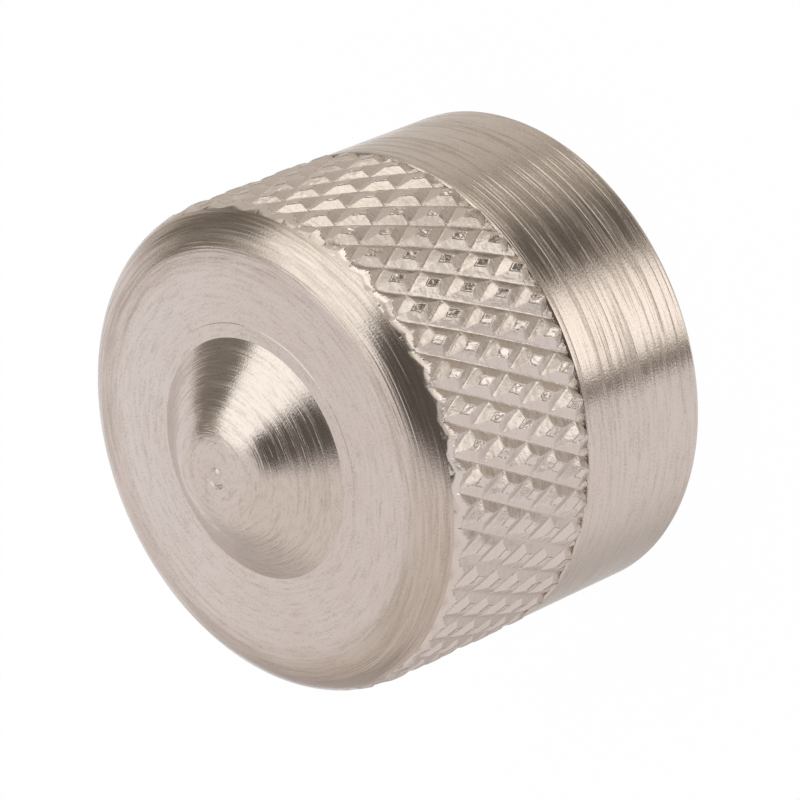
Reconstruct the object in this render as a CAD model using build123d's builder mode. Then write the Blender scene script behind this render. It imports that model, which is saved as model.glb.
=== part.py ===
# Metal tyre valve cap: a turned, knurled cap body with a rubber sealing washer inside.
# The cap stands on its open rim at Z = 0, with its axis on +Z and the nub on top. Millimetres.
import os
from math import ceil, cos, pi, radians, sqrt, tan

from build123d import *

# Outside of the cap
band_radius = 5.5          # smooth band next to the rim
band_length = 3.55         # rim to the start of the knurl
body_length = 8.1          # rim to the flat face
rim_break = 0.08           # broken edge round the rim
edge_radius = 1.05         # rounded edge between the knurl and the flat face
nub_base_radius = 2.7
nub_tip_radius = 1.12      # before the tip is rounded over
nub_height = 1.15
nub_round = 1.6

# Diamond knurl
knurl_count = 44           # grooves of each hand
knurl_helix = 28           # degrees from the cap's axis
crest_rise = 0.035         # rolled-up crests stand proud of the smooth band
crest_flat = 0.18          # flat left between neighbouring grooves
groove_depth = 0.10
cutter_overshoot = 0.1     # cutter height above the crests

# Inside of the cap
thread_radius = 3.45       # inner wall of the valve thread
mouth_chamfer = 0.45
end_wall = 1.9             # closed end, from the seal to the flat face
seat_radius = 4.0          # undercut that holds the washer
relief_radius = 1.5        # pocket over the valve's pin
relief_depth = 0.8
drill_point = 118          # degrees

# Sealing washer
washer_thickness = 1.2
washer_bore_radius = 1.7
washer_clearance = 0.05

# Worked out from the sizes above
crest_radius = band_radius + crest_rise
seat_top = body_length - end_wall
seat_bottom = seat_top - washer_thickness
relief_tip = seat_top + relief_depth + relief_radius / tan(radians(drill_point / 2))
knurl_lead = 2 * pi * crest_radius / tan(radians(knurl_helix))
diamond_length = knurl_lead / knurl_count
groove_spacing = 2 * pi * crest_radius / knurl_count * cos(radians(knurl_helix))
groove_half_width = (groove_spacing - crest_flat) / 2
cutter_half_width = groove_half_width * (groove_depth + cutter_overshoot) / groove_depth

# The grooves of both hands meet on +X where they run out on the rounded edge
run_out = body_length - edge_radius + sqrt(edge_radius**2 - (edge_radius - groove_depth) ** 2)
diamond_rows = ceil((run_out - band_length) / diamond_length)
groove_start = run_out - diamond_rows * diamond_length
groove_rise = run_out + groove_depth - groove_start


def groove_path(left_hand):
    return Helix(knurl_lead, groove_rise, crest_radius, center=(0, 0, groove_start), lefthand=left_hand)


def groove_section(path):
    # V-shaped section square to the groove, its point towards the axis
    with BuildSketch(Plane(path @ 0, x_dir=(1, 0, 0), z_dir=path % 0)) as section:
        with BuildLine():
            Polyline(
                (-groove_depth, 0),
                (cutter_overshoot, cutter_half_width),
                (cutter_overshoot, -cutter_half_width),
                close=True,
            )
        make_face()
    return section.sketch


right_path = groove_path(False)
with BuildPart() as right_groove:
    sweep(groove_section(right_path), right_path, is_frenet=True)

left_path = groove_path(True)
with BuildPart() as left_groove:
    sweep(groove_section(left_path), left_path, is_frenet=True)

with BuildPart() as cap_body:
    # Knurled end: a turned blank with its rounded edge
    with BuildSketch(Plane.XZ):
        with BuildLine():
            Polyline(
                (0, band_length),
                (crest_radius, band_length),
                (crest_radius, body_length),
                (0, body_length),
                close=True,
            )
        make_face()
    revolve(axis=Axis.Z)
    fillet(cap_body.edges().group_by(Axis.Z)[-1], edge_radius)

    # Crossed grooves cut right round the blank
    with PolarLocations(0, knurl_count):
        add(right_groove.part, mode=Mode.SUBTRACT)
    with PolarLocations(0, knurl_count):
        add(left_groove.part, mode=Mode.SUBTRACT)

    # Nub on the flat face
    with BuildSketch(Plane.XZ):
        with BuildLine():
            Polyline(
                (0, body_length),
                (nub_base_radius, body_length),
                (nub_tip_radius, body_length + nub_height),
                (0, body_length + nub_height),
                close=True,
            )
        make_face()
    revolve(axis=Axis.Z)
    fillet(cap_body.edges().group_by(Axis.Z)[-1], nub_round)

    # Smooth band from the rim up to the knurl
    with BuildSketch(Plane.XZ):
        with BuildLine():
            Polyline(
                (0, 0),
                (band_radius - rim_break, 0),
                (band_radius, rim_break),
                (band_radius, band_length),
                (0, band_length),
                close=True,
            )
        make_face()
    revolve(axis=Axis.Z)

    # Bore for the valve stem, undercut for the washer and drilled pocket, from the rim inwards
    with BuildSketch(Plane.XZ):
        with BuildLine():
            Polyline(
                (0, 0),
                (thread_radius + mouth_chamfer, 0),
                (thread_radius, mouth_chamfer),
                (thread_radius, seat_bottom),
                (seat_radius, seat_bottom),
                (seat_radius, seat_top),
                (relief_radius, seat_top),
                (relief_radius, seat_top + relief_depth),
                (0, relief_tip),
                close=True,
            )
        make_face()
    revolve(axis=Axis.Z, mode=Mode.SUBTRACT)

with BuildPart() as sealing_washer:
    with BuildSketch(Plane.XY.offset(seat_bottom)):
        Circle(seat_radius - washer_clearance)
        Circle(washer_bore_radius, mode=Mode.SUBTRACT)
    extrude(amount=washer_thickness)

os.makedirs("parts", exist_ok=True)
cap_body.part.label = "cap_body"
export_step(cap_body.part, "parts/cap_body.step")
sealing_washer.part.label = "sealing_washer"
export_step(sealing_washer.part, "parts/sealing_washer.step")
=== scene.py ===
# Nickel-plated tyre valve cap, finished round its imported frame.
import math

import bpy
from mathutils import Matrix, Vector, noise


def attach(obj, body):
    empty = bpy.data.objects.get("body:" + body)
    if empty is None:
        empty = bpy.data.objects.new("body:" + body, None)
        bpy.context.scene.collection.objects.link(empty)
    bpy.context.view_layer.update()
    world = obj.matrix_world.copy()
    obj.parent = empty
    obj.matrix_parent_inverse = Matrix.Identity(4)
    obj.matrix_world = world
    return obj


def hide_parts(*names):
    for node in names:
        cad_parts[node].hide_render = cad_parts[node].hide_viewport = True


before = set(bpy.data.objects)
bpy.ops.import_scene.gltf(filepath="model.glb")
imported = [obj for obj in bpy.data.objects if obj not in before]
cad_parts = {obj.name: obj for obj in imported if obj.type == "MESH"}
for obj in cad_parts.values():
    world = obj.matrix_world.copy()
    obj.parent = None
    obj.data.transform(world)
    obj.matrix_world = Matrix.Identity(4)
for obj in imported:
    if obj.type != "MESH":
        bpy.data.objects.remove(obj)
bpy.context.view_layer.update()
mm = 0.001
print("frame loaded:", sorted(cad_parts))


# Small modelling helpers

meshing = {
    "weld": 0.002,  # mm
    "sliver": 0.0002,  # mm
    "sharpAngle": 11,
}


def deselectAll():
    if bpy.context.object and bpy.context.object.mode != "OBJECT":
        bpy.ops.object.mode_set(mode="OBJECT")
    bpy.ops.object.select_all(action="DESELECT")


def spinProfile(name, points, columns):
    # draws an open line of (radius, height) points in mm and spins it round the axis
    spots = [Vector((radius * mm, 0, height * mm)) for radius, height in points]
    deselectAll()
    bpy.ops.mesh.primitive_plane_add(size=mm)
    piece = bpy.context.object
    piece.name = piece.data.name = name
    bpy.ops.object.mode_set(mode="EDIT")
    bpy.ops.mesh.select_mode(type="VERT")
    bpy.ops.mesh.select_all(action="SELECT")
    bpy.ops.mesh.merge(type="CENTER")
    bpy.ops.transform.translate(value=spots[0])
    for here, there in zip(spots, spots[1:]):
        bpy.ops.mesh.extrude_vertices_move(TRANSFORM_OT_translate={"value": there - here})
    bpy.ops.mesh.select_all(action="SELECT")
    bpy.ops.mesh.spin(steps=columns, angle=2 * math.pi, center=(0, 0, 0), axis=(0, 0, 1))
    bpy.ops.object.mode_set(mode="OBJECT")
    return piece


def gridStep(coordinate, steps):
    # the flat grid runs from -1 to 1
    return (coordinate + 1) / 2 * steps


def makeFiner(piece, rows, finerFrom):
    # splits the faces of the last rows, then pokes every face
    bpy.ops.object.mode_set(mode="EDIT")
    bpy.ops.mesh.select_mode(type="FACE")
    bpy.ops.mesh.select_all(action="DESELECT")
    bpy.ops.object.mode_set(mode="OBJECT")
    for face in piece.data.polygons:
        face.select = gridStep(face.center.y, rows) > finerFrom
    bpy.ops.object.mode_set(mode="EDIT")
    bpy.ops.mesh.subdivide(number_cuts=1)
    bpy.ops.mesh.select_all(action="SELECT")
    bpy.ops.mesh.poke()
    bpy.ops.object.mode_set(mode="OBJECT")


def rollSheet(name, columns, rows, place, finerFrom=None):
    # rolls a flat grid round the axis: place(column, row) gives (angle, radius, height) in mm
    deselectAll()
    bpy.ops.mesh.primitive_grid_add(x_subdivisions=columns, y_subdivisions=rows, size=2)
    piece = bpy.context.object
    piece.name = piece.data.name = name
    if finerFrom is not None:
        makeFiner(piece, rows, finerFrom)
    for vertex in piece.data.vertices:
        angle, radius, height = place(gridStep(vertex.co.x, columns), gridStep(vertex.co.y, rows))
        vertex.co = Vector((radius * math.cos(angle), radius * math.sin(angle), height)) * mm
    return piece


def joinPieces(name, pieces):
    # welds the pieces into one shell that faces outwards
    deselectAll()
    for piece in pieces:
        piece.select_set(True)
    bpy.context.view_layer.objects.active = pieces[0]
    bpy.ops.object.join()
    whole = bpy.context.object
    whole.name = whole.data.name = name
    bpy.ops.object.mode_set(mode="EDIT")
    bpy.ops.mesh.select_mode(type="VERT")
    bpy.ops.mesh.select_all(action="SELECT")
    bpy.ops.mesh.remove_doubles(threshold=meshing["weld"] * mm)
    bpy.ops.mesh.dissolve_degenerate(threshold=meshing["sliver"] * mm)
    bpy.ops.mesh.normals_make_consistent(inside=False)
    bpy.ops.mesh.select_all(action="DESELECT")
    bpy.ops.mesh.select_non_manifold()
    bpy.ops.object.mode_set(mode="OBJECT")
    loose = sum(edge.select for edge in whole.data.edges)
    print(name, "faces", len(whole.data.polygons), "open or shared edges", loose)
    return whole


def shadeSmooth(piece):
    deselectAll()
    piece.select_set(True)
    bpy.context.view_layer.objects.active = piece
    bpy.ops.object.shade_smooth_by_angle(angle=math.radians(meshing["sharpAngle"]))


def arcPoints(centre, radius, first, last, steps):
    # angles in degrees from the radial direction towards the nub
    turns = [math.radians(first + (last - first) * step / steps) for step in range(steps + 1)]
    return [(centre[0] + radius * math.cos(turn), centre[1] + radius * math.sin(turn)) for turn in turns]


# Shader wiring

class Wire:
    # one socket of a node tree, with sums written as Python

    def __init__(self, tree, socket):
        self.tree = tree
        self.socket = socket

    def node(self, kind, settings=None, inputs=None, out=0):
        made = self.tree.nodes.new(kind)
        for name, value in (settings or {}).items():
            setattr(made, name, value)
        for key, value in (inputs or {}).items():
            if isinstance(value, Wire):
                self.tree.links.new(value.socket, made.inputs[key])
            else:
                made.inputs[key].default_value = value
        return None if out is None else Wire(self.tree, made.outputs[out])

    def split(self):
        first = self.node("ShaderNodeSeparateXYZ", None, {0: self})
        return [Wire(self.tree, socket) for socket in first.socket.node.outputs]

    def math(self, operation, *values):
        return self.node("ShaderNodeMath", {"operation": operation}, dict(enumerate(values)))

    def __add__(self, other):
        return self.math("ADD", self, other)

    def __radd__(self, other):
        return self.math("ADD", other, self)

    def __sub__(self, other):
        return self.math("SUBTRACT", self, other)

    def __rsub__(self, other):
        return self.math("SUBTRACT", other, self)

    def __mul__(self, other):
        return self.math("MULTIPLY", self, other)

    def __rmul__(self, other):
        return self.math("MULTIPLY", other, self)

    def __truediv__(self, other):
        return self.math("DIVIDE", self, other)

    def __rtruediv__(self, other):
        return self.math("DIVIDE", other, self)

    def __pow__(self, other):
        return self.math("POWER", self, other)

    def between(self, low, high):
        # 0 below low, 1 above high, smooth in between
        return self.node(
            "ShaderNodeMapRange",
            {"interpolation_type": "SMOOTHSTEP"},
            {"Value": self, "From Min": low, "From Max": high},
        )

    def larger(self, other):
        return self.math("MAXIMUM", self, other)

    def blend(self, low, high):
        # colours low to high as this wire goes from 0 to 1
        return self.node(
            "ShaderNodeMix",
            {"data_type": "RGBA"},
            {0: self, 6: low, 7: high},
            out=2,
        )


def emptyTree(owner):
    # a wire with no socket yet, from which the first nodes are added
    owner.use_nodes = True
    owner.node_tree.nodes.clear()
    return Wire(owner.node_tree, None)


# Sizes of the body in mm and degrees, shared by its meshes and its finishes

cap = {
    "bandRadius": 5.5,
    "bandLength": 3.55,
    "bandEdge": 0.04,
    "bandRings": (0.35, 0.7),  # shares of the band's length
    "bodyLength": 8.1,
    "rimBreak": 0.08,
    "breakMiddle": 0.3,  # where an edge's middle lies, 0.5 would be a plain chamfer
    "edgeRadius": 1.05,
    "edgeSteps": 16,
    "padRadius": 3.03,
    "padRise": 0.006,
    "padRun": 0.012,
    "nubBase": 2.7,
    "nubTip": 1.12,
    "nubHeight": 1.15,
    "nubRound": 1.6,
    "nubSteps": 10,
    "pipRadius": 0.17,
    "pipMoat": 0.021,
    "pipSteps": (1.9, 1.3, 1, 0.5),  # moat's edge and floor, pip's foot and top, in pip radii
    "columnsPerDiamond": 8,
}
knurl = {
    "count": 44,
    "helix": 28,
    "crestRise": 0.035,
    "crestFlat": 0.215,
    "rightDepth": 0.12,
    "leftDepth": 0.10,
    "taper": 0.45,
    "taperFrom": 7.12,
    "taperTo": 7.6,
    "frontRows": (0.03, 0.06),
    "finerRows": 5,
    "crestWear": 0.004,
    "wallGrain": 0.003,
    "sideSlip": 0.006,
    "grainSize": 0.16,
}
columns = knurl["count"] * cap["columnsPerDiamond"]
crestRadius = cap["bandRadius"] + knurl["crestRise"]
edgeStart = cap["bodyLength"] - cap["edgeRadius"]
diamondLength = 2 * math.pi * crestRadius / knurl["count"] / math.tan(math.radians(knurl["helix"]))
rowStep = diamondLength / cap["columnsPerDiamond"]
meanDepth = (knurl["rightDepth"] + knurl["leftDepth"]) / 2
runOut = edgeStart + math.sqrt(cap["edgeRadius"] ** 2 - (cap["edgeRadius"] - meanDepth) ** 2)
grooveSpacing = 2 * math.pi * crestRadius / knurl["count"] * math.cos(math.radians(knurl["helix"]))
grooveShare = 1 - knurl["crestFlat"] / grooveSpacing


# Finishes

noiseMiddle = 0.5


def newFinish(name):
    finish = bpy.data.materials.new(name)
    return finish, emptyTree(finish)


def placeInMm(tree):
    place = tree.node("ShaderNodeTexCoord", out="Object")
    return tree.node("ShaderNodeVectorMath", {"operation": "SCALE"}, {0: place, "Scale": 1 / mm})


def cloud(place, scale, detail, roughness=0.55):
    return place.node(
        "ShaderNodeTexNoise",
        None,
        {"Vector": place, "Scale": scale, "Detail": detail, "Roughness": roughness},
    )


def shade(tree, finish, inputs):
    surface = tree.node("ShaderNodeBsdfPrincipled", None, inputs)
    tree.node("ShaderNodeOutputMaterial", None, {"Surface": surface}, out=None)
    return finish


def relief(tree, height):
    # height in mm to a bumped normal
    return tree.node("ShaderNodeBump", None, {"Strength": 1, "Distance": mm, "Height": height})


# torn and rounded edges: depths and heights in mm, distances across the grooves in half spacings
knurlEdges = {
    "meshEdge": 0.0001,
    "ragged": 0.08,
    "raggedScale": 6,
    "tornCrest": 0.03,
    "tornLip": 0.01,
    "tornMiddle": 0.45,
    "borderReach": 0.07,
    "borderFade": (-0.002, 0.006),
    "blankEdgeFade": 0.02,
    "groove": 0.07,
    "crest": 0.010,
    "crestFade": (-0.08, 0),
    "lipSlope": 0.3,
    "lipReach": 0.08,
    "lipRagged": 0.035,
    "lipStart": 0.004,
    "lipEdge": 0.12,
    "pitDepth": 0.024,
    "pitShift": 0.25,
    "pitRound": 0.12,
    "pitFade": (-0.08, 0.04),
    "pitRingFade": (0.03, 0.12),
    "pitShadeRingMarks": 0.15,
    "tanShare": 0.25,
    "rearWallShade": 0.5,
    "leftWallShade": 0.6,
    "sandMarks": 0.6,
    "crumbAndShadeReach": 0.3,
    "crumbAndShadeRange": (0.42, 0.6),
    "crumbAndShadeMarks": 0.8,
    "strokes": 26,
    "strokeBreaks": 3,
    "strokeTilt": 12,
    "strokeDepth": 0.0045,
    "toolMarks": 9,
    "toolBreaks": 1.2,
    "toolDepth": 0.003,
}


def knurlSurface(tree, right, left, lift, drop, soft, edge):
    # how deep the surface lies under the crests: grooves of both hands, and the rounded edge of the blank
    def groove(steps, depth):
        away = tree.math("PINGPONG", steps, 1)
        if soft:
            away = (away * away + soft * soft) ** 0.5
        return depth * (1 - away / grooveShare)

    rightCut = groove(right, knurl["rightDepth"])
    leftCut = groove(left, knurl["leftDepth"])
    cut = tree.math("SMOOTH_MAX", rightCut, leftCut, edge) * (1 - lift * knurl["taper"])
    return tree.math("SMOOTH_MAX", cut, drop, edge), cut


def pastGroove(away, limits):
    # away is counted in half spacings from the middle of a groove
    return away.between(grooveShare + limits[0], grooveShare + limits[1])


def knurlDetail(tree, place):
    # masks of the knurl's surfaces, and in mm how far its torn and rounded edges stand over the plain mesh
    x, y, z = place.split()
    turn = tree.math("ARCTAN2", y, x)
    across = turn * (knurl["count"] / math.pi)
    along = (z - runOut) * (2 / diamondLength)
    pastEdge = (z - edgeStart).larger(0)
    drop = cap["edgeRadius"] - (cap["edgeRadius"] ** 2 - pastEdge * pastEdge) ** 0.5
    lift = z.between(knurl["taperFrom"], knurl["taperTo"])
    fade = knurlEdges["blankEdgeFade"]
    onBlankEdge = z.between(edgeStart - fade, edgeStart + fade)
    right, left = across - along, across + along
    sharp, sharpCut = knurlSurface(tree, right, left, lift, drop, 0, knurlEdges["meshEdge"])

    tear = tree.node("ShaderNodeTexNoise", None, {
        "Vector": place, "Scale": knurlEdges["raggedScale"], "Detail": 1, "Roughness": 0.5,
    }, out="Color")
    tearRight, tearLeft, tearUp = tear.split()
    right = right + (tearRight - noiseMiddle) * knurlEdges["ragged"]
    left = left + (tearLeft - noiseMiddle) * knurlEdges["ragged"]
    nearBorder = (1 - tree.math("ABSOLUTE", sharpCut - drop) / knurlEdges["borderReach"]).between(0, 1)
    tearDepth = knurlEdges["tornCrest"] * (1 - onBlankEdge)
    tearDepth = tearDepth + knurlEdges["tornLip"] * onBlankEdge * nearBorder
    drop = drop + (tearUp - knurlEdges["tornMiddle"]) * tearDepth
    torn, cut = knurlSurface(tree, right, left, lift, drop, knurlEdges["groove"], knurlEdges["crest"])

    # lip of metal that the rolls pushed up in front of the grooves
    past = (drop - cut).larger(0)
    lipEnd = knurlEdges["lipReach"] + (tearUp - noiseMiddle) * knurlEdges["lipRagged"]
    beforeEnd = 1 - (past - lipEnd).between(0, knurlEdges["lipEdge"])
    onLip = past.between(0, knurlEdges["lipStart"]) * beforeEnd * onBlankEdge
    lip = past * onLip * knurlEdges["lipSlope"]
    knurled = (cut - drop).between(*knurlEdges["borderFade"]).larger(1 - onBlankEdge).larger(onLip)

    # crests: torn pits in what is left of the blank's surface
    fromRight = tree.math("PINGPONG", right, 1)
    fromLeft = tree.math("PINGPONG", left, 1)
    fromGroove = tree.math("SMOOTH_MIN", fromRight, fromLeft, knurlEdges["pitRound"])
    crest = pastGroove(fromGroove, knurlEdges["crestFade"]) * (1 - onBlankEdge)
    inPit = fromGroove + (tearUp - noiseMiddle) * knurlEdges["pitShift"]
    pit = pastGroove(inPit, knurlEdges["pitFade"]) * crest
    # painted shade: the rim of each pit is darkened
    pitShadeRing = pit * (1 - pastGroove(inPit, knurlEdges["pitRingFade"]))
    wall = knurled * (1 - crest) * (1 - onLip)

    # walls that face the rim, which are painted darker as shade, those of the right-hand grooves most
    rightWall = (grooveShare - fromRight) * knurl["rightDepth"]
    leftWall = (grooveShare - fromLeft) * knurl["leftDepth"]
    onRight = tree.math("GREATER_THAN", rightWall, leftWall)
    rearRight = tree.math("GREATER_THAN", tree.math("FLOORED_MODULO", right, 2), 1)
    rearLeft = tree.math("LESS_THAN", tree.math("FLOORED_MODULO", left, 2), 1)
    rearLeft = rearLeft * knurlEdges["leftWallShade"]
    rearShade = (rearLeft + onRight * (rearRight - rearLeft)) * wall
    # dark crumbs and painted shade in the step down to the band
    crumbsAndStepShade = 1 - z.between(cap["bandLength"], cap["bandLength"] + knurlEdges["crumbAndShadeReach"])
    crumbsAndStepShade = crumbsAndStepShade * tearUp.between(*knurlEdges["crumbAndShadeRange"])

    tilt = math.radians(knurlEdges["strokeTilt"])
    arc = turn * crestRadius
    strokes = cloud(tree.node("ShaderNodeCombineXYZ", None, {
        0: (arc * math.cos(tilt) - z * math.sin(tilt)) * knurlEdges["strokes"],
        1: (arc * math.sin(tilt) + z * math.cos(tilt)) * knurlEdges["strokeBreaks"],
    }), 1, detail=1)
    toolMarks = cloud(tree.node("ShaderNodeCombineXYZ", None, {
        0: right * knurlEdges["toolMarks"],
        1: left * knurlEdges["toolBreaks"],
    }), 1, detail=1)
    height = sharp - torn + lip - pit * knurlEdges["pitDepth"]
    height = height + pit * strokes * knurlEdges["strokeDepth"] + wall * toolMarks * knurlEdges["toolDepth"]
    return knurled, wall, rearShade, pitShadeRing, crumbsAndStepShade, height


nickel = {
    "clean": (0.665, 0.592, 0.545, 1),
    "tan": (0.60, 0.518, 0.455, 1),
    "brown": (0.45, 0.37, 0.31, 1),
    "streak": (0.40, 0.335, 0.275, 1),
    "speck": (0.26, 0.21, 0.165, 1),
    "roughness": 0.13,
    "streakRoughness": 0.10,
    "sandRoughness": 0.06,
    "wallRoughness": 0.24,
    "stretch": 0.3,
    "stretchTurn": 0.25,
    # rings round the axis: lines to the mm, how far they wander, octaves
    "fineLines": (17, 0.9, 2),
    "streakLines": (7, 1.3, 2),
    "arcLines": (9, 3, 3),
    "scratchLines": (13, 7, 2),
    "lineRoughness": 0.62,
    "sandScale": 22,
    "speckScale": 7,
    "patchScale": 0.8,
    "grainDetail": 2,
    # noise values that count as nothing and as full
    "streakRange": (0.46, 0.66),
    "arcRange": (0.38, 0.66),
    "speckRange": (0.69, 0.75),
    "patchRange": (0.35, 0.7),
    "fineDepth": 0.0045,
    "streakDepth": 0.006,
    "sandDepth": 0.0022,
    # shares everywhere, and what the band, its fresh side, the rounded edge and the nub add
    "fineShares": (0.4, 0.5, 0, 1, 0.7),
    "streakShares": (0, 0.3, 0.35, 0.7, 0.6),
    "markShares": (0.06, 0.08, 0.42, 0.4, 0.2),
    "tarnishShares": (0, 0.3, 0.2, 0, 0),
    "nubTarnish": 0.75,
    "paintedShadeTan": 0.7,
    "patchTarnish": 0.2,
    "brownArcs": 0.4,
    "brownHigh": 0.5,
    "lowTarnishAndShade": 0.5,
    "arcMarks": 0.1,
    "scratchMarks": 1.5,
    "sandMarks": 1.6,
    "nubSandLess": 0.8,
    "speckMarks": 0.2,
}
# where the finish changes, from nothing to full, in mm
zones = {
    "bandEnd": (cap["bandLength"] - 0.05, cap["bandLength"] + 0.01),
    "edgeRadius": (4.0, 4.8),
    "edgeHeight": (edgeStart - 0.15, edgeStart + 0.05),
    "nub": (cap["bodyLength"] + 0.02, cap["bodyLength"] + 0.2),
    # painted shade: the metal turns tan towards this side
    "paintedShadeWay": (0.84, -0.54),  # a direction in x and y
    "paintedShadeSide": (-4.5, 1.5),
    "lowSide": (1.5, 5),
    "highSide": (-1, 4),
    "freshSide": (-3, -0.5),
}


def turningLines(place, scale, wander, detail):
    # noise that runs in rings round the axis, along the side and across the face alike
    x, y, z = place.split()
    radius = (x * x + y * y) ** 0.5
    ring = place.node("ShaderNodeCombineXYZ", None, {
        0: (z - radius) * scale, 1: x / radius * wander, 2: y / radius * wander,
    })
    return cloud(ring, 1, detail, nickel["lineRoughness"])


def makeNickel(name, withKnurl):
    finish, tree = newFinish(name)
    place = placeInMm(tree)
    x, y, z = place.split()
    radius = (x * x + y * y) ** 0.5
    fine = turningLines(place, *nickel["fineLines"])
    streak = turningLines(place, *nickel["streakLines"]).between(*nickel["streakRange"])
    arcs = turningLines(place, *nickel["arcLines"]).between(*nickel["arcRange"])
    scratch = turningLines(place, *nickel["scratchLines"]) - noiseMiddle
    sand = cloud(place, nickel["sandScale"], nickel["grainDetail"])
    speck = cloud(place, nickel["speckScale"], nickel["grainDetail"]).between(*nickel["speckRange"])
    patch = cloud(place, nickel["patchScale"], nickel["grainDetail"]).between(*nickel["patchRange"])

    onBand = 1 - z.between(*zones["bandEnd"])
    onFreshBand = onBand * y.between(*zones["freshSide"])
    onEdge = radius.between(*zones["edgeRadius"]) * z.between(*zones["edgeHeight"])
    onNub = z.between(*zones["nub"])
    wayX, wayY = zones["paintedShadeWay"]
    # painted shade: a tan gradient towards one side, added to the real tarnish
    paintedShadeSide = (x * wayX + y * wayY).between(*zones["paintedShadeSide"])
    lowSide = (0 - y).between(*zones["lowSide"])
    highSide = y.between(*zones["highSide"])

    def shares(kind):
        everywhere, band, freshBand, edge, nub = nickel[kind]
        return everywhere + onBand * band + onFreshBand * freshBand + onEdge * edge + onNub * nub

    turned = fine * nickel["fineDepth"] * shares("fineShares")
    turned = turned + streak * nickel["streakDepth"] * shares("streakShares")
    tanShare = (onNub * nickel["nubTarnish"]).larger(onEdge).larger(shares("tarnishShares"))
    tanShare = tanShare.larger(paintedShadeSide * nickel["paintedShadeTan"]) + patch * nickel["patchTarnish"]
    colour = tanShare.blend(nickel["clean"], nickel["tan"])
    # the rounded edge browns towards its low side, partly tarnish, partly painted shade
    browned = arcs * (nickel["brownArcs"] + highSide * nickel["brownHigh"]) + lowSide * nickel["lowTarnishAndShade"]
    colour = (onEdge * browned).blend(colour, nickel["brown"])
    marks = streak * shares("markShares") + arcs * nickel["arcMarks"] + scratch * nickel["scratchMarks"]
    marks = marks + (sand - noiseMiddle) * (nickel["sandMarks"] - onNub * nickel["nubSandLess"])
    colour = marks.blend(colour, nickel["streak"])
    rough = nickel["roughness"] + streak * nickel["streakRoughness"] + sand * nickel["sandRoughness"]
    height = turned + sand * nickel["sandDepth"]
    if withKnurl:
        knurled, wall, rearShade, pitShadeRing, crumbsAndStepShade, relieved = knurlDetail(tree, place)
        pressed = knurlEdges["tanShare"] + patch * nickel["patchTarnish"]
        pressed = pressed.blend(nickel["clean"], nickel["tan"])
        # painted shade: the groove walls that face the rim are browned
        pressed = (rearShade * knurlEdges["rearWallShade"]).blend(pressed, nickel["brown"])
        # dark marks: painted shade in pits and the step, crumbs and sand
        dirtAndShade = pitShadeRing * knurlEdges["pitShadeRingMarks"] + crumbsAndStepShade * knurlEdges["crumbAndShadeMarks"]
        dirtAndShade = dirtAndShade + (sand - noiseMiddle) * knurlEdges["sandMarks"]
        pressed = dirtAndShade.blend(pressed, nickel["streak"])
        colour = knurled.blend(colour, pressed)
        rough = rough + wall * (nickel["wallRoughness"] - nickel["roughness"])
        height = turned * (1 - knurled) + sand * nickel["sandDepth"] + relieved
    colour = (speck * nickel["speckMarks"]).blend(colour, nickel["speck"])
    return shade(tree, finish, {
        "Base Color": colour,
        "Metallic": 1,
        "Roughness": rough,
        "Anisotropic": nickel["stretch"],
        "Anisotropic Rotation": nickel["stretchTurn"],
        "Normal": relief(tree, height),
    })


rubber = {
    "colour": (0.028, 0.028, 0.03, 1),
    "bloom": (0.055, 0.054, 0.052, 1),
    "bloomScale": 1.3,
    "bloomDetail": 3,
    "bloomRange": (0.45, 0.75),
    "roughness": 0.62,
    "grain": 12,
    "grainDetail": 4,
    "grainDepth": 0.004,
    "grainRoughness": 0.2,
}


def makeSealRubber():
    finish, tree = newFinish("sealRubber")
    place = placeInMm(tree)
    grain = cloud(place, rubber["grain"], rubber["grainDetail"])
    bloom = cloud(place, rubber["bloomScale"], rubber["bloomDetail"]).between(*rubber["bloomRange"])
    return shade(tree, finish, {
        "Base Color": bloom.blend(rubber["colour"], rubber["bloom"]),
        "Roughness": rubber["roughness"] + grain * rubber["grainRoughness"],
        "Normal": relief(tree, grain * rubber["grainDepth"]),
    })


nickelPlate = makeNickel("nickelPlate", withKnurl=False)
nickelKnurl = makeNickel("nickelKnurl", withKnurl=True)
sealRubber = makeSealRubber()
print("finishes made")


# Camera, in the photo's view: the cap's axis points to the lower left of the picture

viewpoint = {
    "place": (87.3, 0.0, 78.9),  # mm
    "right": (0.60124, -0.38993, -0.69747),
    "up": (0.25416, 0.92084, -0.29572),
    "lens": 237.3,
    "sensor": 36,
    "nearest": 0.01,  # m
    "farthest": 10,  # m
}
studioRight = Vector(viewpoint["right"]).normalized()
studioUp = Vector(viewpoint["up"]).normalized()
studioBack = studioRight.cross(studioUp).normalized()


def makeCamera():
    lens = bpy.data.cameras.new("photoView")
    lens.lens = viewpoint["lens"]
    lens.sensor_width = viewpoint["sensor"]
    lens.clip_start = viewpoint["nearest"]
    lens.clip_end = viewpoint["farthest"]
    camera = bpy.data.objects.new("photoView", lens)
    bpy.context.scene.collection.objects.link(camera)
    aim = Matrix((studioRight, studioUp, studioBack)).transposed().to_4x4()
    aim.translation = Vector(viewpoint["place"]) * mm
    camera.matrix_world = aim
    bpy.context.scene.camera = camera


makeCamera()
print("camera placed")


# Cap body: smooth surfaces are spun, the knurl and the thread are rolled sheets

wholeRows = int((runOut - cap["bandLength"]) / rowStep)
knurlRows = [cap["bandLength"], cap["bandLength"]]  # twice, for the step down into the grooves
knurlRows += [runOut - row * rowStep for row in range(wholeRows, -1, -1)]
knurlRows += [runOut + step for step in knurl["frontRows"]]


def blankRadius(height):
    # turned blank before knurling
    if height <= edgeStart:
        return crestRadius
    rise = min(height - edgeStart, cap["edgeRadius"])
    return crestRadius - cap["edgeRadius"] + math.sqrt(cap["edgeRadius"] ** 2 - rise ** 2)


def grooveCut(steps):
    # depth share of the nearest groove, steps being counted in half spacings
    away = abs((steps + 1) % 2 - 1)
    return max(0.0, 1 - away / grooveShare)


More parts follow.
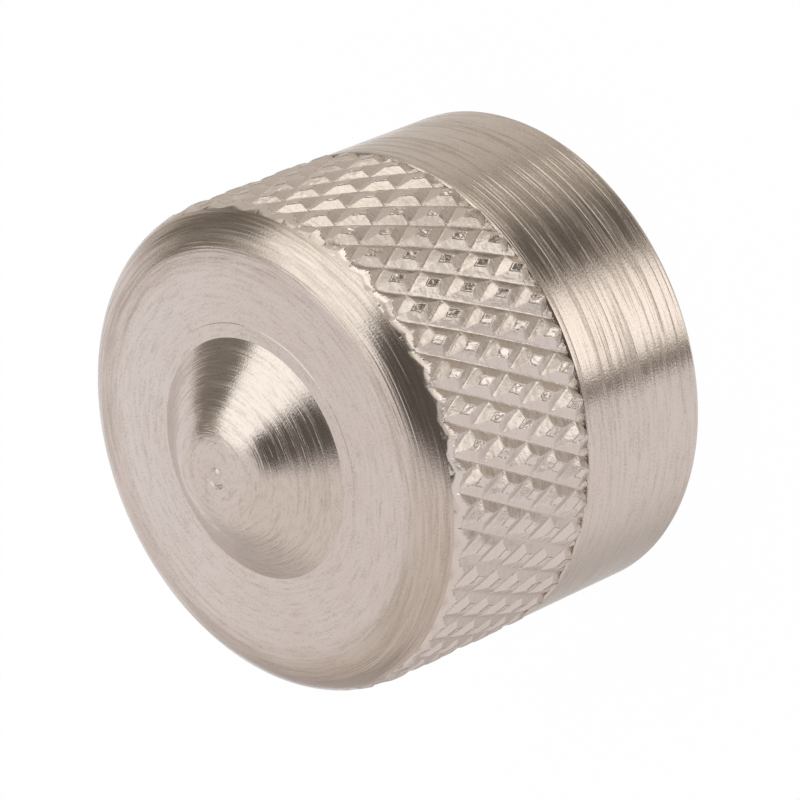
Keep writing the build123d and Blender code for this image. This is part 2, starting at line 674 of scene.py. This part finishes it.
def knurlPoint(column, row):
    below = min(int(row), len(knurlRows) - 2)
    height = knurlRows[below] + (knurlRows[below + 1] - knurlRows[below]) * (row - below)
    angle = 2 * math.pi * column / columns
    across = column / columns * 2 * knurl["count"]
    along = (height - runOut) / diamondLength * 2
    rightCut = knurl["rightDepth"] * grooveCut(across - along)
    leftCut = knurl["leftDepth"] * grooveCut(across + along)
    lift = min(max((height - knurl["taperFrom"]) / (knurl["taperTo"] - knurl["taperFrom"]), 0), 1)
    cut = max(rightCut, leftCut) * (1 - knurl["taper"] * lift * lift * (3 - 2 * lift))  # eased taper
    radius = crestRadius - cut
    if row < 1:
        foot = cap["bandRadius"] - cap["bandEdge"]
        radius = foot + (radius - foot) * row
    if 1 < row < len(knurlRows) - 1:
        spot = Vector((math.cos(angle), math.sin(angle), height / crestRadius))
        wander = noise.noise_vector(spot * crestRadius / knurl["grainSize"])
        radius += min(wander.x, 0) * (knurl["wallGrain"] if cut else knurl["crestWear"])
        if cut > 0 or height < edgeStart:
            angle += wander.y * knurl["sideSlip"] / crestRadius
            height += wander.z * knurl["sideSlip"]
    return angle, min(radius, blankRadius(height)), height


finerFrom = len(knurlRows) - 1 - knurl["finerRows"]
knurlSheet = rollSheet("knurl", columns, len(knurlRows) - 1, knurlPoint, finerFrom)
print("knurl rolled:", len(knurlSheet.data.polygons), "faces")


def frontProfile():
    faceTop = cap["bodyLength"]
    padTop = faceTop + cap["padRise"]
    nubTop = faceTop + cap["nubHeight"]
    startAngle = math.degrees(math.asin((knurlRows[-1] - edgeStart) / cap["edgeRadius"]))
    edgeCentre = (crestRadius - cap["edgeRadius"], edgeStart)
    points = arcPoints(edgeCentre, cap["edgeRadius"], startAngle, 90, cap["edgeSteps"])
    points += [
        ((edgeCentre[0] + cap["padRadius"]) / 2, faceTop),
        (cap["padRadius"], faceTop),
        (cap["padRadius"] - cap["padRun"], padTop),
        (cap["nubBase"], padTop),
    ]
    slope = math.degrees(math.atan2(cap["nubHeight"], cap["nubBase"] - cap["nubTip"]))
    tangent = cap["nubRound"] * math.tan(math.radians(slope / 2))
    roundCentre = (cap["nubTip"] - tangent, nubTop - cap["nubRound"])
    shoulder = arcPoints(roundCentre, cap["nubRound"], 90 - slope, 90, cap["nubSteps"])
    middle = ((cap["nubBase"] + shoulder[0][0]) / 2, (padTop + shoulder[0][1]) / 2)
    points += [middle] + shoulder
    moatEdge, moatFloor, pipFoot, pipTop = [cap["pipRadius"] * step for step in cap["pipSteps"]]
    points += [
        (moatEdge, nubTop),
        (moatFloor, nubTop - cap["pipMoat"]),
        (pipFoot, nubTop - cap["pipMoat"]),
        (pipTop, nubTop),
        (0, nubTop),
    ]
    return points


thread = {
    "wallRadius": 3.45,
    "rootRadius": 3.86,
    "pitch": 25.4 / 32,
    "flat": 0.125,  # share of the pitch, at crest and root alike
    "mouthChamfer": 0.45,
    "endWall": 1.9,
    "washerThickness": 1.2,
    "seatRadius": 4.0,
    "reliefRadius": 1.5,
    "reliefDepth": 0.8,
    "drillPoint": 118,
    "rowsPerTurn": 8,
}
seatTop = cap["bodyLength"] - thread["endWall"]
seatBottom = seatTop - thread["washerThickness"]
threadTurns = math.ceil(seatBottom / thread["pitch"]) + 1
threadRows = threadTurns * thread["rowsPerTurn"]


def threadPoint(column, row):
    # rows follow the helix and are held between the mouth and the washer's seat
    turn = row / thread["rowsPerTurn"] - 1 + column / columns
    height = min(max(turn * thread["pitch"], 0), seatBottom)
    wave = abs(turn % 1 - 0.5) * 2
    tooth = min(max((wave - thread["flat"]) / (1 - 2 * thread["flat"]), 0), 1)
    radius = thread["wallRadius"] + (thread["rootRadius"] - thread["wallRadius"]) * tooth
    if height in (0, seatBottom):
        radius = thread["wallRadius"]
    mouth = thread["wallRadius"] + thread["mouthChamfer"] - height
    return 2 * math.pi * column / columns, max(radius, mouth), height


def rimProfile():
    outer, length = cap["bandRadius"], cap["bandLength"]
    rim, end, middle = cap["rimBreak"], cap["bandEdge"], cap["breakMiddle"]
    return [
        (thread["wallRadius"] + thread["mouthChamfer"], 0),
        (outer - rim, 0),
        (outer - rim * middle, rim * middle),
        (outer, rim),
        *[(outer, length * share) for share in cap["bandRings"]],
        (outer, length - end),
        (outer - end * middle, length - end * middle),
        (outer - end, length),
    ]


def seatProfile():
    reliefTop = seatTop + thread["reliefDepth"]
    drillTip = reliefTop + thread["reliefRadius"] / math.tan(math.radians(thread["drillPoint"] / 2))
    return [
        (thread["wallRadius"], seatBottom),
        (thread["seatRadius"], seatBottom),
        (thread["seatRadius"], seatTop),
        (thread["reliefRadius"], seatTop),
        (thread["reliefRadius"], reliefTop),
        (0, drillTip),
    ]


threadSheet = rollSheet("thread", columns, threadRows, threadPoint)
rimSkin = spinProfile("rimSkin", rimProfile(), columns)
frontSkin = spinProfile("frontSkin", frontProfile(), 2 * columns)  # the knurl's last rows are split in two
seatSkin = spinProfile("seatSkin", seatProfile(), columns)
for piece in (rimSkin, frontSkin, threadSheet, seatSkin):
    piece.data.materials.append(nickelPlate)
knurlSheet.data.materials.append(nickelKnurl)
print("skins spun")
capBody = joinPieces("valveCapBody", [rimSkin, knurlSheet, frontSkin, threadSheet, seatSkin])
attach(capBody, "root")
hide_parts("cap_body")
shadeSmooth(capBody)


# Sealing washer: a moulded ring with rounded edges

washer = {
    "clearance": 0.05,
    "bore": 1.7,
    "round": 0.12,
    "roundSteps": 4,
    "columns": 96,
}


def washerProfile():
    low, high = seatBottom, seatTop
    outer = thread["seatRadius"] - washer["clearance"]
    edge = washer["round"]
    corners = [
        ((outer - edge, low + edge), -90),
        ((outer - edge, high - edge), 0),
        ((washer["bore"] + edge, high - edge), 90),
        ((washer["bore"] + edge, low + edge), 180),
    ]
    points = []
    for centre, first in corners:
        points += arcPoints(centre, edge, first, first + 90, washer["roundSteps"])
    return points + points[:1]


ringSkin = spinProfile("ring", washerProfile(), washer["columns"])
washerRing = joinPieces("sealingWasherRing", [ringSkin])
washerRing.data.materials.append(sealRubber)
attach(washerRing, "root")
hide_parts("sealing_washer")
shadeSmooth(washerRing)
print("washer made")


# Studio: white table and backdrop, pale walls, two light boxes, and the dark things between them

studio = {
    "table": (0.985, 0.97, 1.0, 1),
    "tableLow": (0.95, 0.915, 0.91, 1),
    "tableLowFrom": (-42, -24),
    "walls": (0.726, 0.684, 0.636, 1),
    "backdropFrom": (100, 125),
    "backdropTop": 14,
    "tableEdge": (-3, 3),
    # in degrees: nothing at the first angle, full from the second to the third, nothing at the fourth
    # lean turns a patch's upright edges, slant and reach cut it along a sloping line
    "patches": {
        "dimTableLeft": {
            "azimuth": (-181, -180, -160, -110), "elevation": (-92, -91, -31, -17),
            "colour": (0.62, 0.586, 0.58, 1),
        },
        "dimTableRight": {
            "azimuth": (115, 160, 181, 182), "elevation": (-46, -34, -12, -2),
            "colour": (0.62, 0.59, 0.575, 1),
        },
        "ceiling": {
            "azimuth": (-125, -70, 22, 40), "elevation": (44, 60, 95, 96),
            "colour": (1.2, 1.17, 1.1, 1),
        },
        "darkLeft": {
            "azimuth": (-145, -124, -60, -50), "elevation": (12, 19, 50, 66),
            "colour": (0.27, 0.252, 0.228, 1),
        },
        "darkLeftLow": {
            "azimuth": (-112, -105, -90, -84), "elevation": (-14, -6, 15, 20),
            "colour": (0.33, 0.31, 0.28, 1),
        },
        "darkFront": {
            "azimuth": (-54, -39, 42, 50), "elevation": (-37, -17, 22, 44),
            "colour": (0.14, 0.131, 0.122, 1),
        },
        "leftBox": {
            "azimuth": (-86, -78, -10, 4), "lean": 0.13, "elevation": (-16, -10, 50, 58),
            "slant": 0.95, "reach": (32, 47), "colour": (1.60, 1.64, 1.66, 1),
        },
        "rightGlow": {
            "azimuth": (40, 46, 56, 61), "elevation": (26, 32, 46, 54),
            "colour": (1.3, 1.27, 1.2, 1),
        },
        "highFront": {
            "azimuth": (34, 44, 64, 92), "elevation": (46, 58, 95, 96),
            "colour": (1.75, 1.73, 1.67, 1),
        },
        "highRight": {
            "azimuth": (60, 72, 130, 150), "elevation": (64, 72, 95, 96),
            "colour": (1.75, 1.73, 1.67, 1),
        },
        "darkRightLow": {
            "azimuth": (95, 99, 112, 124), "elevation": (2, 8, 26, 34),
            "colour": (0.42, 0.388, 0.345, 1),
        },
        "darkRightHigh": {
            "azimuth": (96, 106, 140, 172), "elevation": (53, 58, 65, 72),
            "colour": (0.46, 0.43, 0.38, 1),
        },
        "rightBox": {
            "azimuth": (46, 52, 89, 95), "elevation": (1, 9, 23, 46),
            "slant": -1.5, "reach": (97, 106), "colour": (1.66, 1.66, 1.64, 1),
        },
        "darkAboveRightBox": {
            "azimuth": (67, 74, 94, 124), "elevation": (15, 24, 58, 68),
            "slant": 0.375, "reach": (3, 8), "colour": (0.14, 0.128, 0.113, 1),
        },
        "darkLine": {
            "azimuth": (54, 60, 104, 114), "elevation": (-4, -1.5, 1.5, 4),
            "colour": (0.22, 0.2, 0.18, 1),
        },
    },
    "white": (1, 1, 1, 1),
    "floor": (0.92, 0.92, 0.92, 1),
    "floorSize": 1.2,  # m
    "floorDrop": 0.002,  # mm
    "floorGlow": 0.985,
}


def makeWorld():
    world = bpy.data.worlds.new("studio")
    bpy.context.scene.world = world
    world.cycles.sampling_method = "NONE"  # soft light that shiny metal finds by itself
    tree = emptyTree(world)
    direction = tree.node("ShaderNodeTexCoord", out="Generated")

    def towards(axis):
        vectors = {0: direction, 1: axis}
        return tree.node("ShaderNodeVectorMath", {"operation": "DOT_PRODUCT"}, vectors, out="Value")

    rightward, upward, nearward = towards(studioRight), towards(studioUp), towards(studioBack)
    # degrees as seen from the cap: azimuth 0 is at the camera and grows to the right of the picture
    azimuth = tree.math("DEGREES", tree.math("ARCTAN2", rightward, nearward))
    elevation = tree.math("DEGREES", tree.math("ARCSINE", upward))
    fromCamera = tree.math("ABSOLUTE", azimuth)

    def patchMask(spot):
        mask = 1
        across = azimuth - elevation * spot.get("lean", 0)
        for angle, (start, full, fade, end) in ((across, spot["azimuth"]), (elevation, spot["elevation"])):
            mask = mask * angle.between(start, full) * (1 - angle.between(fade, end))
        if "slant" in spot:
            mask = mask * (elevation - azimuth * spot["slant"]).between(*spot["reach"])
        return mask

    low = 1 - elevation.between(*studio["tableLowFrom"])
    tableTone = low.blend(studio["table"], studio["tableLow"])
    tableTop = fromCamera.between(*studio["backdropFrom"]) * studio["backdropTop"]
    onTable = 1 - (elevation - tableTop).between(*studio["tableEdge"])
    around = onTable.blend(studio["walls"], tableTone)
    for spot in studio["patches"].values():
        around = patchMask(spot).blend(around, spot["colour"])
    seen = tree.node("ShaderNodeLightPath", out="Is Camera Ray")
    colour = seen.blend(around, studio["white"])
    light = tree.node("ShaderNodeBackground", None, {"Color": colour, "Strength": 1})
    tree.node("ShaderNodeOutputWorld", None, {"Surface": light}, out=None)


def makeFloor():
    deselectAll()
    bpy.ops.mesh.primitive_plane_add(size=studio["floorSize"], location=(0, 0, -studio["floorDrop"] * mm))
    floor = bpy.context.object
    floor.name = "floor"
    finish, tree = newFinish("paleFloor")
    paper = tree.node("ShaderNodeBsdfDiffuse", None, {"Color": studio["floor"]})
    glow = tree.node("ShaderNodeEmission", None, {"Color": studio["white"], "Strength": 1})
    seen = tree.node("ShaderNodeLightPath", out="Is Camera Ray")
    both = tree.node("ShaderNodeMixShader", None, {0: seen * studio["floorGlow"], 1: paper, 2: glow})
    tree.node("ShaderNodeOutputMaterial", None, {"Surface": both}, out=None)
    floor.data.materials.append(finish)
    floor.visible_glossy = False  # the metal shows the studio, as if the cap lay on the white table
    floor.visible_shadow = False


makeWorld()
makeFloor()
bpy.context.scene.view_settings.view_transform = "Standard"
print("studio lit")
